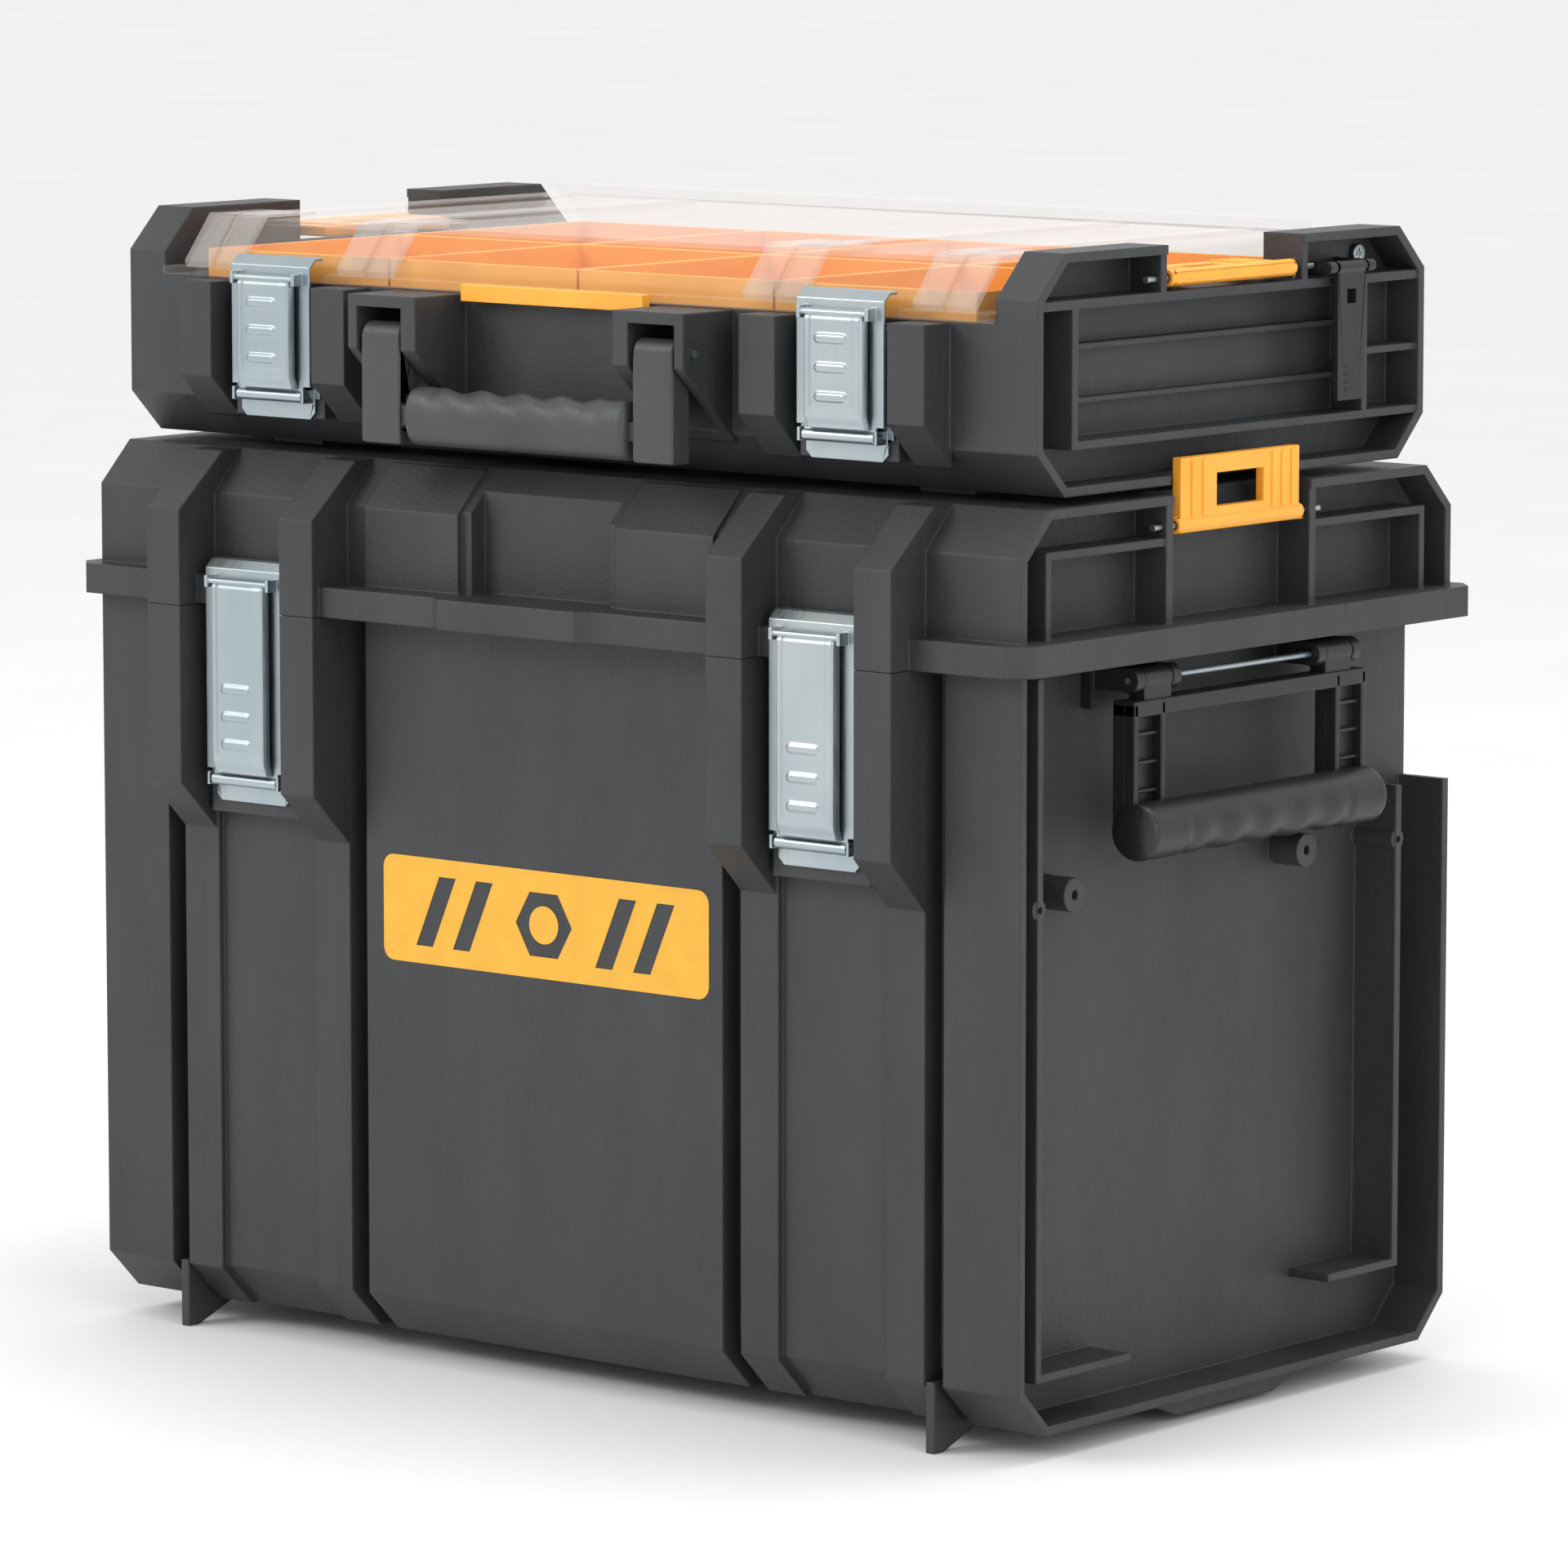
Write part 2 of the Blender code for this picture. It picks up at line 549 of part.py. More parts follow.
def side_handle(name, side):
    """A bail handle, the bracket that it hangs from and the pin between them."""
    x, z = side_axis_x, side_axis_z
    lug_spans = around(0, 0.0755, 0.0810) + around(0, 0.0500, 0.0555)
    ear_spans = around(0, 0.0560, 0.0750)
    plate = block(mirrored((wall_x + gap, wall_x + 0.0055), side), (-0.083, 0.083), (z - 0.0135, z + 0.0065))
    arms = [block(mirrored((wall_x + 0.004, x), side), span, (z - 0.0050, z + 0.0050)) for span in lug_spans]
    rounds = [rod("Y", (x * side, z), 0.0055, span) for span in lug_spans]
    bore = [rod("Y", (x * side, z), pin_radius + gap, (-0.09, 0.09), 16)]
    piece(f"handle_bracket_{name}", "black", plate, [("join", arms), ("join", rounds), ("cut", bore)])
    pin = rod("Y", (x * side, z), pin_radius, (-0.0815, 0.0815), 16)
    piece(f"handle_pin_{name}", "steel", pin, pivot=(x * side, 0, z))

    thick = mirrored((x - 0.006, x + 0.006), side)
    bar_top = z - 0.0085
    grip_z = z - side_handle_drop
    start = block(thick, (-side_half, side_half), (bar_top - 0.007, bar_top))
    ears = [block(mirrored((x - 0.0045, x + 0.0045), side), span, (bar_top - 0.001, z)) for span in ear_spans]
    knuckles = [rod("Y", (x * side, z), 0.0053, span) for span in ear_spans]
    legs = [block(thick, span, (grip_z, bar_top - 0.002))
            for span in around(0, side_half - side_leg, side_half)]
    grip = [rod("Y", ((x + 0.006) * side, grip_z), grip_radius, (-side_half - 0.001, side_half + 0.001), 32)]
    hollow = [block(mirrored((x + 0.001, x + 0.02), side), span, (grip_z + 0.0165, bar_top - 0.010))
              for span in around(0, side_half - side_leg + 0.004, side_half - 0.004)]
    steps = [("join", legs), ("join", grip), ("join", ears), ("join", knuckles), ("cut", hollow),
             ("cut", pin_bore(x * side, z))]
    piece(f"side_handle_{name}", "black", start, steps, pivot=(x * side, 0, z))


def pin_bore(x, z):
    """A pin's bore along Y, with its running clearance."""
    return [rod("Y", (x, z), pin_radius + gap, (-0.09, 0.09), 16)]


# ---- stack latches, which hold one case on another -------------------------
def stack_latch(prefix, name, side, axis_x, axis_z, folded):
    """A windowed plate on a hinge along Y: upright when engaged, flat when folded inward."""
    half = stack_latch_length / 2
    near, far = -0.0035, stack_latch_height - 0.0035
    window = (0.0065, 0.0210)
    if folded:
        plate_x, plate_z = mirrored((axis_x - far, axis_x - near), side), (axis_z - 0.0025, axis_z + 0.0025)
        hole_x, hole_z = mirrored((axis_x - window[1], axis_x - window[0]), side), (axis_z - 0.01,
                                                                                    axis_z + 0.01)
    else:
        plate_x, plate_z = mirrored((axis_x - 0.0025, axis_x + 0.0025), side), (axis_z + near, axis_z + far)
        hole_x, hole_z = mirrored((axis_x - 0.01, axis_x + 0.01), side), (axis_z + window[0],
                                                                          axis_z + window[1])
    plate = block(plate_x, (-half, half), plate_z)
    barrel = [rod("Y", (axis_x * side, axis_z), 0.0038, (-half - 0.002, half + 0.002))]
    steps = [("join", barrel), ("cut", [block(hole_x, (-0.017, 0.017), hole_z)]),
             ("cut", pin_bore(axis_x * side, axis_z))]
    piece(f"{prefix}_{name}", "amber", plate, steps, pivot=(axis_x * side, 0, axis_z))
    pin = rod("Y", (axis_x * side, axis_z), pin_radius, (-stack_pin_half, stack_pin_half), 16)
    piece(f"{prefix}_pin_{name}", "steel", pin, pivot=(axis_x * side, 0, axis_z))


# ---- organiser case --------------------------------------------------------
organizer_floor = 0.0045
cavity_y = organizer_y - 0.009
cavity_chamfer = corner_chamfer - 0.0060
ledge_z = organizer_top - 0.0200
organizer_latch_foot = organizer_base + 0.0225
organizer_latch_top = organizer_edge + 0.0120
organizer_pad_y = -organizer_y - 0.0045
folded_axis_x = organizer_x - 0.004
folded_axis_z = ledge_z + 0.0055
organizer_hinge_y = organizer_y + 0.0065
organizer_hinge_z = organizer_edge
organizer_knuckle = 0.0045
lid_flange_x = cheek_inner - 0.0015
lid_body_x = cheek_inner - 0.0145
lid_front_y = -organizer_y + 0.001
clear_base = organizer_edge + 0.0005
clear_flange_top = clear_base + 0.0040
clear_top = organizer_top - 0.0035
clear_wall = 0.0022
clear_slope_base = clear_base + 0.007
clear_slope_inset = 0.019
clear_inside_top = clear_top - 0.0005 - clear_wall
cavity_x = lid_body_x - clear_wall - 0.0008
carry_y = -organizer_y - 0.0265
carry_z = organizer_edge - 0.018
carry_arm = (0.068, carry_handle_span / 2)
strap_x = organizer_x + 0.0035
strap_z = ledge_z + 0.0045
strap_mid = organizer_y - 0.0617


def organizer_side(side):
    """Ledges and ribs in one framed side recess of the organiser, and the catch for the latch below."""
    inner, outer = organizer_wall_x - 0.001, organizer_x - 0.0008
    deep, shallow = mirrored((inner, outer), side), mirrored((inner, organizer_wall_x + 0.006), side)
    low_ledge = organizer_base + 0.0195
    end_y = organizer_y - 0.002
    front_out = -organizer_y + 0.0250
    front_in = front_out + 0.0040
    rear_wall = organizer_y - 0.0455
    frame = [prism("YZ", [(front_in, low_ledge + 0.0035), (front_in, ledge_z - 0.001),
                          (front_out, ledge_z - 0.001),
                          (front_out, low_ledge), (end_y, low_ledge), (end_y, low_ledge + 0.0035)], deep)]
    top = [block(deep, (-end_y, end_y), (ledge_z - 0.0040, ledge_z))]
    lower_wall = (low_ledge + 0.002, ledge_z - 0.002)
    walls = [block(deep, (rear_wall, rear_wall + 0.0035), lower_wall)]
    ends = [block(deep, span, (ledge_z - 0.001, organizer_top - 0.0008))
            for span in around(0, 0.0490, 0.0530)]
    slats = [block(shallow, (front_in - 0.0015, rear_wall + 0.0010),
                   (low_ledge + rise, low_ledge + rise + 0.0025))
             for rise in (0.018, 0.041)]
    rear_slat = [block(mirrored((inner, outer - 0.001), side), (rear_wall + 0.0020, end_y),
                       (low_ledge + 0.028, low_ledge + 0.031))]
    notch = block(mirrored((organizer_wall_x + 0.0025, organizer_x + 0.01), side), (-0.046, 0.046),
                  (organizer_base - 0.01, low_ledge - 0.001))
    bar = block(mirrored((inner, organizer_wall_x + 0.0115), side), (-0.017, 0.017),
                (organizer_base + 0.0025, organizer_base + 0.0095))
    return [("join", frame), ("join", top), ("join", walls), ("join", ends), ("join", slats),
            ("join", rear_slat),
            ("cut", [notch]), ("join", [bar])]


def organizer_tub():
    """The shallow tub with tall cheeks, framed side recesses, latch ribs and handle pockets."""
    outline = profile(organizer_y, organizer_base, organizer_top, low_cut=corner_chamfer,
                      high_cut=corner_chamfer)
    start = prism("YZ", outline, (-organizer_x, organizer_x))
    above = (organizer_edge, organizer_top + 0.01)
    steps = [("cut", [block((-cheek_inner, cheek_inner), (-0.2, 0.2), above)])]
    cavity = profile(cavity_y, organizer_base + organizer_floor, organizer_edge + 0.01,
                     low_cut=cavity_chamfer)
    steps.append(("cut", [prism("YZ", cavity, (-cavity_x, cavity_x))]))
    recess = profile(organizer_y, organizer_base + case_wall, organizer_top - case_wall, inset=case_wall,
                     low_cut=corner_chamfer, high_cut=corner_chamfer)
    out = organizer_x + 0.01
    steps.append(("cut", [prism("YZ", recess, mirrored((organizer_wall_x, out), side)) for _, side in sides]))
    saddle = ((-0.0490, 0.0490), (ledge_z, organizer_top + 0.01))
    steps.append(("cut", [block(mirrored((cheek_inner - 0.001, out), side), *saddle) for _, side in sides]))
    for _, side in sides:
        steps += organizer_side(side)
    front = -organizer_y
    reach = front - organizer_rib_reach
    low = organizer_base + 0.030
    rib = [(front + 0.002, organizer_edge - gap), (front + 0.002, low - organizer_rib_reach - 0.002),
           (reach, low), (reach, organizer_edge - gap)]
    ribs = [prism("YZ", rib, span) for x in latch_xs for span in around(x, rib_inner, rib_outer)]
    steps.append(("join", ribs))
    pad = ((organizer_pad_y, front + 0.003), (organizer_latch_foot - 0.010, organizer_edge - 0.002))
    steps.append(("join", [block((x - pad_half, x + pad_half), *pad) for x in latch_xs]))
    face = carry_y - 0.007
    pocket = [(front + 0.002, organizer_edge - gap), (front + 0.002, organizer_base + 0.0150),
              (face, organizer_base + 0.0490), (face, organizer_edge - gap)]
    steps.append(("join", [prism("YZ", pocket, span) for span in around(0, 0.0575, 0.0975)]))
    opening = ((face - 0.01, front - 0.0035), (organizer_base, carry_z + 0.0125))
    steps.append(("cut", [block(span, *opening)
                          for span in around(0, carry_arm[0] - 0.002, carry_arm[1] + 0.002)]))
    steps.append(("cut", [rod("X", (carry_y, carry_z), 0.002 + gap, span, 16)
                          for span in around(0, 0.0595, 0.099)]))
    foot_x, foot_y = organizer_x - 0.0740, organizer_y - 0.0445
    feet = [block((x - 0.015, x + 0.015), (y - 0.012, y + 0.012), (lid_top + gap, organizer_base + 0.001))
            for x in (-foot_x, foot_x) for y in (-foot_y, foot_y)]
    steps.append(("join", feet))
    knuckle = ((-0.020, -0.0105 - gap), (0.0105 + gap, 0.020))
    arm = ((organizer_y - 0.002, organizer_hinge_y), (organizer_hinge_z - 0.010, organizer_hinge_z - gap))
    steps.append(("join", [block((x + a, x + b), *arm) for x in hinge_xs for a, b in knuckle]))
    place = (organizer_hinge_y, organizer_hinge_z)
    steps.append(("join", hinge_knuckles(hinge_xs, *place, organizer_knuckle, knuckle)))
    bores = [rod("X", place, 0.002 + gap, (x - 0.025, x + 0.025), 16) for x in hinge_xs]
    bores += [rod("Y", (folded_axis_x * side, folded_axis_z), pin_radius + gap, (-0.065, 0.065), 16)
              for _, side in sides]
    steps.append(("cut", bores))
    return piece("organizer_tub", "charcoal", start, steps)


def clear_lid():
    """The clear moulded lid: a thin shell with a rim, raised bands and two hinge knuckles."""
    shell = [(lid_front_y, clear_base), (-lid_front_y, clear_base), (-lid_front_y, clear_base + 0.008),
             (-lid_front_y - 0.018, clear_top - 0.0005), (lid_front_y + 0.018, clear_top - 0.0005),
             (lid_front_y, clear_base + 0.008)]
    start = prism("YZ", shell, (-lid_body_x, lid_body_x))
    rim = block((-lid_flange_x, lid_flange_x), (lid_front_y - 0.004, -lid_front_y + 0.0015),
                (clear_base, clear_flange_top))
    steps = [("join", [rim])]
    top = clear_top
    bands = [block(span, (lid_front_y + 0.022, -lid_front_y - 0.046), (top - 0.002, top + 0.0020))
             for x in latch_xs for span in around(x, 0.030, 0.046)]
    bands.append(block((-lid_body_x + 0.0105, lid_body_x - 0.0105),
                       (-lid_front_y - 0.034, -lid_front_y - 0.019), (top - 0.002, top + 0.0055)))
    steps.append(("join", bands))
    within = [(lid_front_y + clear_wall, clear_base - 0.01), (-lid_front_y - clear_wall, clear_base - 0.01),
              (-lid_front_y - clear_wall, clear_slope_base), (-lid_front_y - clear_slope_inset,
                                                              clear_inside_top),
              (lid_front_y + clear_slope_inset, clear_inside_top), (lid_front_y + clear_wall,
                                                                    clear_slope_base)]
    steps.append(("cut", [prism("YZ", within, (-lid_body_x + clear_wall, lid_body_x - clear_wall))]))
    clear = latch_width / 2 + loose
    notches = [block((x - clear, x + clear), (lid_front_y - 0.01, lid_front_y),
                     (clear_base - 0.01, clear_flange_top + 0.001))
               for x in latch_xs]
    notches += [block(mirrored((lid_body_x + 0.0005, lid_flange_x + 0.01), side), (-0.0485, 0.0485),
                      (clear_base - 0.01, clear_flange_top + 0.001)) for _, side in sides]
    steps.append(("cut", notches))
    arm = ((-lid_front_y - 0.001, organizer_hinge_y), (clear_base + 0.0005, clear_base + 0.0045))
    steps.append(("join", [block((x - 0.0105, x + 0.0105), *arm) for x in hinge_xs]))
    place = (organizer_hinge_y, organizer_hinge_z)
    steps.append(("join", hinge_knuckles(hinge_xs, *place, organizer_knuckle, ((-0.0105, 0.0105),))))
    steps.append(("cut", [rod("X", place, 0.002 + gap, (x - 0.025, x + 0.025), 16) for x in hinge_xs]))
    piece("organizer_lid", "clear", start, steps, pivot=(0, *place))
    strip = block((-0.053, 0.053), (lid_front_y - 0.0095, lid_front_y - 0.004 - gap),
                  (clear_base - 0.0020, clear_flange_top))
    foot = [block((-0.053, 0.053), (lid_front_y - 0.0095, lid_front_y - 0.0045),
                  (clear_base - 0.0035, clear_base - 0.001))]
    piece("lid_front_strip", "amber", strip, [("join", foot)])
    for (name, _), x in zip(sides, hinge_xs):
        pin = rod("X", place, 0.002, (x - 0.0205, x + 0.0205), 16)
        piece(f"organizer_hinge_pin_{name}", "steel", pin, pivot=(x, *place))


bin_cut = cavity_chamfer + 0.0004
bin_room = 0.0012095  # from a bin's outer rim up to the lid's sloping wall
slope_share = ((-lid_front_y - clear_wall) - (cavity_y - 2 * gap)) / (clear_slope_inset - clear_wall)
bin_top = clear_slope_base + slope_share * (clear_inside_top - clear_slope_base) - bin_room


def bin_outline(near, far, low, high, outer_sign, cut):
    """A bin's section across the case: its outer bottom corner is cut at 45 degrees."""
    if cut == 0.0:
        return [(near, low), (far, low), (far, high), (near, high)]
    if outer_sign < 0:
        return [(near + cut, low), (far, low), (far, high), (near, high), (near, low + cut)]
    return [(near, low), (far - cut, low), (far, low + cut), (far, high), (near, high)]


def bins():
    """Loose open bins that fill the organiser in a grid."""
    pitch_x, pitch_y = 2 * cavity_x / bin_columns, 2 * cavity_y / bin_rows
    low, high = organizer_base + organizer_floor + gap, bin_top
    for row in range(bin_rows):
        outer_sign = -1 if row == 0 else 1
        for column in range(bin_columns):
            x0, y0 = -cavity_x + column * pitch_x + gap * 2, -cavity_y + row * pitch_y + gap * 2
            x1, y1 = x0 + pitch_x - gap * 4, y0 + pitch_y - gap * 4
            start = prism("YZ", bin_outline(y0, y1, low, high, outer_sign,
                                            bin_cut if row in (0, bin_rows - 1) else 0.0),
                          (x0, x1))
            within = bin_outline(y0 + bin_wall, y1 - bin_wall, low + bin_wall, high + 0.01, outer_sign,
                                 bin_cut - 0.0008 if row in (0, bin_rows - 1) else 0.0)
            inside = prism("YZ", within, (x0 + bin_wall, x1 - bin_wall))
            piece(f"bin_{row + 1}_{column + 1}", "amber", start, [("cut", [inside])])


def carry_handle():
    """The front handle: two arms on pins in their pockets, a bar between them and a soft grip on it."""
    face = (carry_y - 0.006, carry_y + 0.006)
    low = carry_z - carry_handle_drop
    arms = around(0, *carry_arm)
    start = block(arms[0], face, (low, carry_z))
    bar_z = low + 0.013
    steps = [
        ("join", [block(arms[1], face, (low, carry_z))]),
        ("join", [rod("X", (carry_y, carry_z), 0.006, span) for span in arms]),
        ("join", [block((-carry_arm[0] - 0.002, carry_arm[0] + 0.002), (carry_y - 0.004, carry_y + 0.004),
                        (bar_z - 0.0045, bar_z + 0.0045))]),
        ("cut", [rod("X", (carry_y, carry_z), 0.002 + gap, (-0.1, 0.1), 16)]),
    ]
    piece("carry_handle", "grey", start, steps, pivot=(0, carry_y, carry_z))
    oval = [(carry_y + 0.0085 * math.cos(a), bar_z + 0.0130 * math.sin(a))
            for a in (2 * math.pi * step / 20 for step in range(20))]
    grip = prism("YZ", oval, (-carry_arm[0] + 0.0045, carry_arm[0] - 0.0045))
    hole = block((-0.1, 0.1), (carry_y - 0.004 - gap, carry_y + 0.004 + gap),
                 (bar_z - 0.0045 - gap, bar_z + 0.0045 + gap))
    piece("carry_grip", "grey", grip, [("cut", [hole])])
    for (name, _), span in zip(sides, around(0, 0.0600, 0.0985)):
        piece(f"carry_pin_{name}", "steel", rod("X", (carry_y, carry_z), 0.002, span, 16),
              pivot=(sum(span) / 2, carry_y, carry_z))


def side_strap(name, side):
    """A folding strap on a screwed base at the rear of a cheek."""
    x, z = strap_x, strap_z
    screw_y = strap_mid + 0.0292
    base_x = (organizer_wall_x + gap, organizer_wall_x + 0.0038)
    plate = block(mirrored(base_x, side), (strap_mid - 0.0178, strap_mid + 0.0397),
                  (ledge_z + 0.0008, organizer_top - 0.0050))
    lugs = around(strap_mid, 0.0117, 0.0167)
    arms = [block(mirrored((base_x[0] + 0.001, x), side), span, (z - 0.0025, z + 0.0025)) for span in lugs]
    rounds = [rod("Y", (x * side, z), 0.0028, span, 16) for span in lugs]
    rivet = [rod("Y", (x * side, z), pin_radius, (strap_mid - 0.0148, strap_mid + 0.0147), 16)]
    seat = [rod("X", (screw_y, z + 0.0035), 0.0022, mirrored((wall_x, x), side), 16)]
    piece(f"strap_base_{name}", "black", plate,
          [("join", arms), ("join", rounds), ("join", rivet), ("cut", seat)])
    screw = rod("X", (screw_y, z + 0.0035), 0.0042, mirrored((base_x[1] + gap, base_x[1] + 0.0022), side))
    cross = [block(mirrored((base_x[1] + 0.0012, base_x[1] + 0.01), side), (screw_y - a, screw_y + a),
                   (z + 0.0035 - b, z + 0.0035 + b))
             for a, b in ((0.0022, 0.0005), (0.0005, 0.0022))]
    piece(f"strap_screw_{name}", "steel", screw, [("cut", [cross[0]]), ("cut", [cross[1]])])
    face = mirrored((x - 0.0016, x + 0.0016), side)
    tail = block(face, (strap_mid - 0.0100, strap_mid + 0.0100), (z - 0.0585, z))
    knuckle = [rod("Y", (x * side, z), 0.0028, (strap_mid - 0.0098, strap_mid + 0.0097), 16)]
    window = [block(mirrored((x - 0.01, x + 0.01), side), (strap_mid - 0.0033, strap_mid + 0.0033),
                    (z - 0.0160, z - 0.0098))]
    grip = [block(mirrored((x + 0.0010, x + 0.0023), side), (strap_mid - 0.005, strap_mid + 0.005),
                  (z - d - 0.0010, z - d))
            for d in (0.0430, 0.0465, 0.0500, 0.0535)]
    bore = [rod("Y", (x * side, z), pin_radius + gap, (strap_mid - 0.028, strap_mid + 0.032), 16)]
    piece(f"side_strap_{name}", "black", tail,
          [("join", knuckle), ("cut", window), ("join", grip), ("cut", bore)],
          pivot=(x * side, strap_mid, z))


def organizer_latches():
    """The two short latches of the organiser."""
    for (name, _), x in zip(sides, latch_xs):
        latch_set("organizer_latch", name, x, organizer_pad_y, organizer_latch_foot, organizer_latch_top,
                  -organizer_y - 0.0015, organizer_edge - 0.0035)


def build():
    """Make every sub-part, from the ground up."""
    case_tub()
    case_lid()
    lid_gasket()
    hinge_pins()
    case_latches()
    organizer_tub()
    clear_lid()
    bins()
    organizer_latches()
    carry_handle()
    for name, side in sides:
        side_handle(name, side)
        stack_latch("stack_latch", name, side, stack_hinge_x, stack_hinge_z, False)
        stack_latch("spare_stack_latch", name, side, folded_axis_x, folded_axis_z, True)
        side_strap(name, side)


for leftover in list(bpy.data.objects):
    bpy.data.objects.remove(leftover)
parts = bpy.data.collections.new("rolling_tool_box")
cutters = bpy.data.collections.new("cutters")
bpy.context.scene.collection.children.link(parts)
bpy.context.scene.collection.children.link(cutters)
build()
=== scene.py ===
import bpy, bmesh, json, math
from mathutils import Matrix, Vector


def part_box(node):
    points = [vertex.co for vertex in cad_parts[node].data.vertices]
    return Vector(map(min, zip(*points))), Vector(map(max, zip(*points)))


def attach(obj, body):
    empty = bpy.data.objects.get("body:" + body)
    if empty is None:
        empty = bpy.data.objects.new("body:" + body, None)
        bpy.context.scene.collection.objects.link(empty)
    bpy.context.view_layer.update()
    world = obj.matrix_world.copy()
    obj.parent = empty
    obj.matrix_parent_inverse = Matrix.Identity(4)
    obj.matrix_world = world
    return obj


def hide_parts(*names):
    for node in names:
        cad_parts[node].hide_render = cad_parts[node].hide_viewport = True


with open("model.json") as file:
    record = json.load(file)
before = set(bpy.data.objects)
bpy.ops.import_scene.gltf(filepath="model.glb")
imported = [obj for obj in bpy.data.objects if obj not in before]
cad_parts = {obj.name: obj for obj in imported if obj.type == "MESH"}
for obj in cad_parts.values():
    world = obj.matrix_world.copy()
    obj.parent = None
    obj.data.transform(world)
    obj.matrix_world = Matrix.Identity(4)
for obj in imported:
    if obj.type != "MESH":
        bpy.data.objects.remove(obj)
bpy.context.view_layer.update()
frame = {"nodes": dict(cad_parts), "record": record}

slotOf = {s["node"]: s["material_slot"] for s in frame["record"]["subparts"]}
bodyOf = {n: b for b, names in frame["record"]["behaviour"]["bodies"].items() for n in names}
backWall = next(m for m in frame["record"]["mounts"] if m["name"] == "back")["pos_m"][1]
sides = (("left", -1), ("right", 1))


# finishes

def startFinish(name, color, roughness, metallic=0.0):
    finish = bpy.data.materials.new(name)
    finish.use_nodes = True
    shader = finish.node_tree.nodes["Principled BSDF"]
    shader.inputs["Base Color"].default_value = (*color, 1)
    shader.inputs["Roughness"].default_value = roughness
    shader.inputs["Metallic"].default_value = metallic
    return finish, finish.node_tree, shader


def place(tree, stretch=(1, 1, 1)):
    # the object's own metres, so grain keeps its real size on every piece
    spot = tree.nodes.new("ShaderNodeTexCoord")
    turn = tree.nodes.new("ShaderNodeMapping")
    turn.inputs["Scale"].default_value = stretch
    tree.links.new(spot.outputs["Object"], turn.inputs["Vector"])
    return turn.outputs["Vector"]


def noise(tree, scale, detail=3.0, stretch=(1, 1, 1)):
    grain = tree.nodes.new("ShaderNodeTexNoise")
    grain.inputs["Scale"].default_value = scale
    grain.inputs["Detail"].default_value = detail
    tree.links.new(place(tree, stretch), grain.inputs["Vector"])
    return grain.outputs["Fac"]


def spread(tree, value, low, high, fromLow=0.3, fromHigh=0.7):
    change = tree.nodes.new("ShaderNodeMapRange")
    for name, number in (("From Min", fromLow), ("From Max", fromHigh), ("To Min", low), ("To Max", high)):
        change.inputs[name].default_value = number
    tree.links.new(value, change.inputs["Value"])
    return change.outputs["Result"]


def tint(tree, factor, dark, light):
    mix = tree.nodes.new("ShaderNodeMix")
    mix.data_type = "RGBA"
    mix.inputs["A"].default_value = (*dark, 1)
    mix.inputs["B"].default_value = (*light, 1)
    tree.links.new(factor, mix.inputs["Factor"])
    return mix.outputs["Result"]


def relief(tree, shader, layers, edge=0.0):
    previous = None
    if edge:
        rounded = tree.nodes.new("ShaderNodeBevel")  # softens the moulding's edges
        rounded.samples = 6
        rounded.inputs["Radius"].default_value = edge
        previous = rounded.outputs["Normal"]
    for height, strength, distance in layers:
        bump = tree.nodes.new("ShaderNodeBump")
        bump.inputs["Strength"].default_value = strength
        bump.inputs["Distance"].default_value = distance
        tree.links.new(height, bump.inputs["Height"])
        if previous:
            tree.links.new(previous, bump.inputs["Normal"])
        previous = bump.outputs["Normal"]
    tree.links.new(previous, shader.inputs["Normal"])


def mouldedPlastic(name, dark, light, roughness, grain, edge=0.0):
    finish, tree, shader = startFinish(name, light, roughness)
    flow = noise(tree, 26, 4, (1, 1, 0.35))
    speck = noise(tree, 1500, 2)
    leather = noise(tree, 430, 5)
    scuff = noise(tree, 60, 6, (14, 14, 1.2))
    tree.links.new(tint(tree, spread(tree, flow, 0, 1), dark, light), shader.inputs["Base Color"])
    tree.links.new(spread(tree, scuff, roughness - 0.07, roughness + 0.08), shader.inputs["Roughness"])
    relief(tree, shader, ((flow, 0.12, 0.0006), (leather, grain * 0.9, 0.00035), (speck, grain, 0.00022),
                          (scuff, 0.08, 0.00015)), edge)
    return finish


def zincPlate(name):
    finish, tree, shader = startFinish(name, (0.52, 0.59, 0.63), 0.36, 1.0)
    cloud = noise(tree, 22, 3, (1, 1, 0.5))
    rolled = noise(tree, 240, 4, (7, 1, 0.25))
    tree.links.new(tint(tree, spread(tree, cloud, 0, 1), (0.34, 0.41, 0.45), (0.46, 0.50, 0.50)),
                   shader.inputs["Base Color"])
    tree.links.new(spread(tree, rolled, 0.30, 0.44), shader.inputs["Roughness"])
    relief(tree, shader, ((rolled, 0.1, 0.00012), (cloud, 0.1, 0.0005)))
    return finish


def amberPlastic(name, dark, light):
    finish, tree, shader = startFinish(name, light, 0.4)
    cloud = noise(tree, 30, 3)
    speck = noise(tree, 1700, 2)
    tree.links.new(tint(tree, spread(tree, cloud, 0, 1), dark, light), shader.inputs["Base Color"])
    tree.links.new(spread(tree, cloud, 0.36, 0.48), shader.inputs["Roughness"])
    shader.inputs["Subsurface Weight"].default_value = 0.06
    shader.inputs["Subsurface Scale"].default_value = 0.003
    relief(tree, shader, ((speck, 0.2, 0.00018),))
    return finish


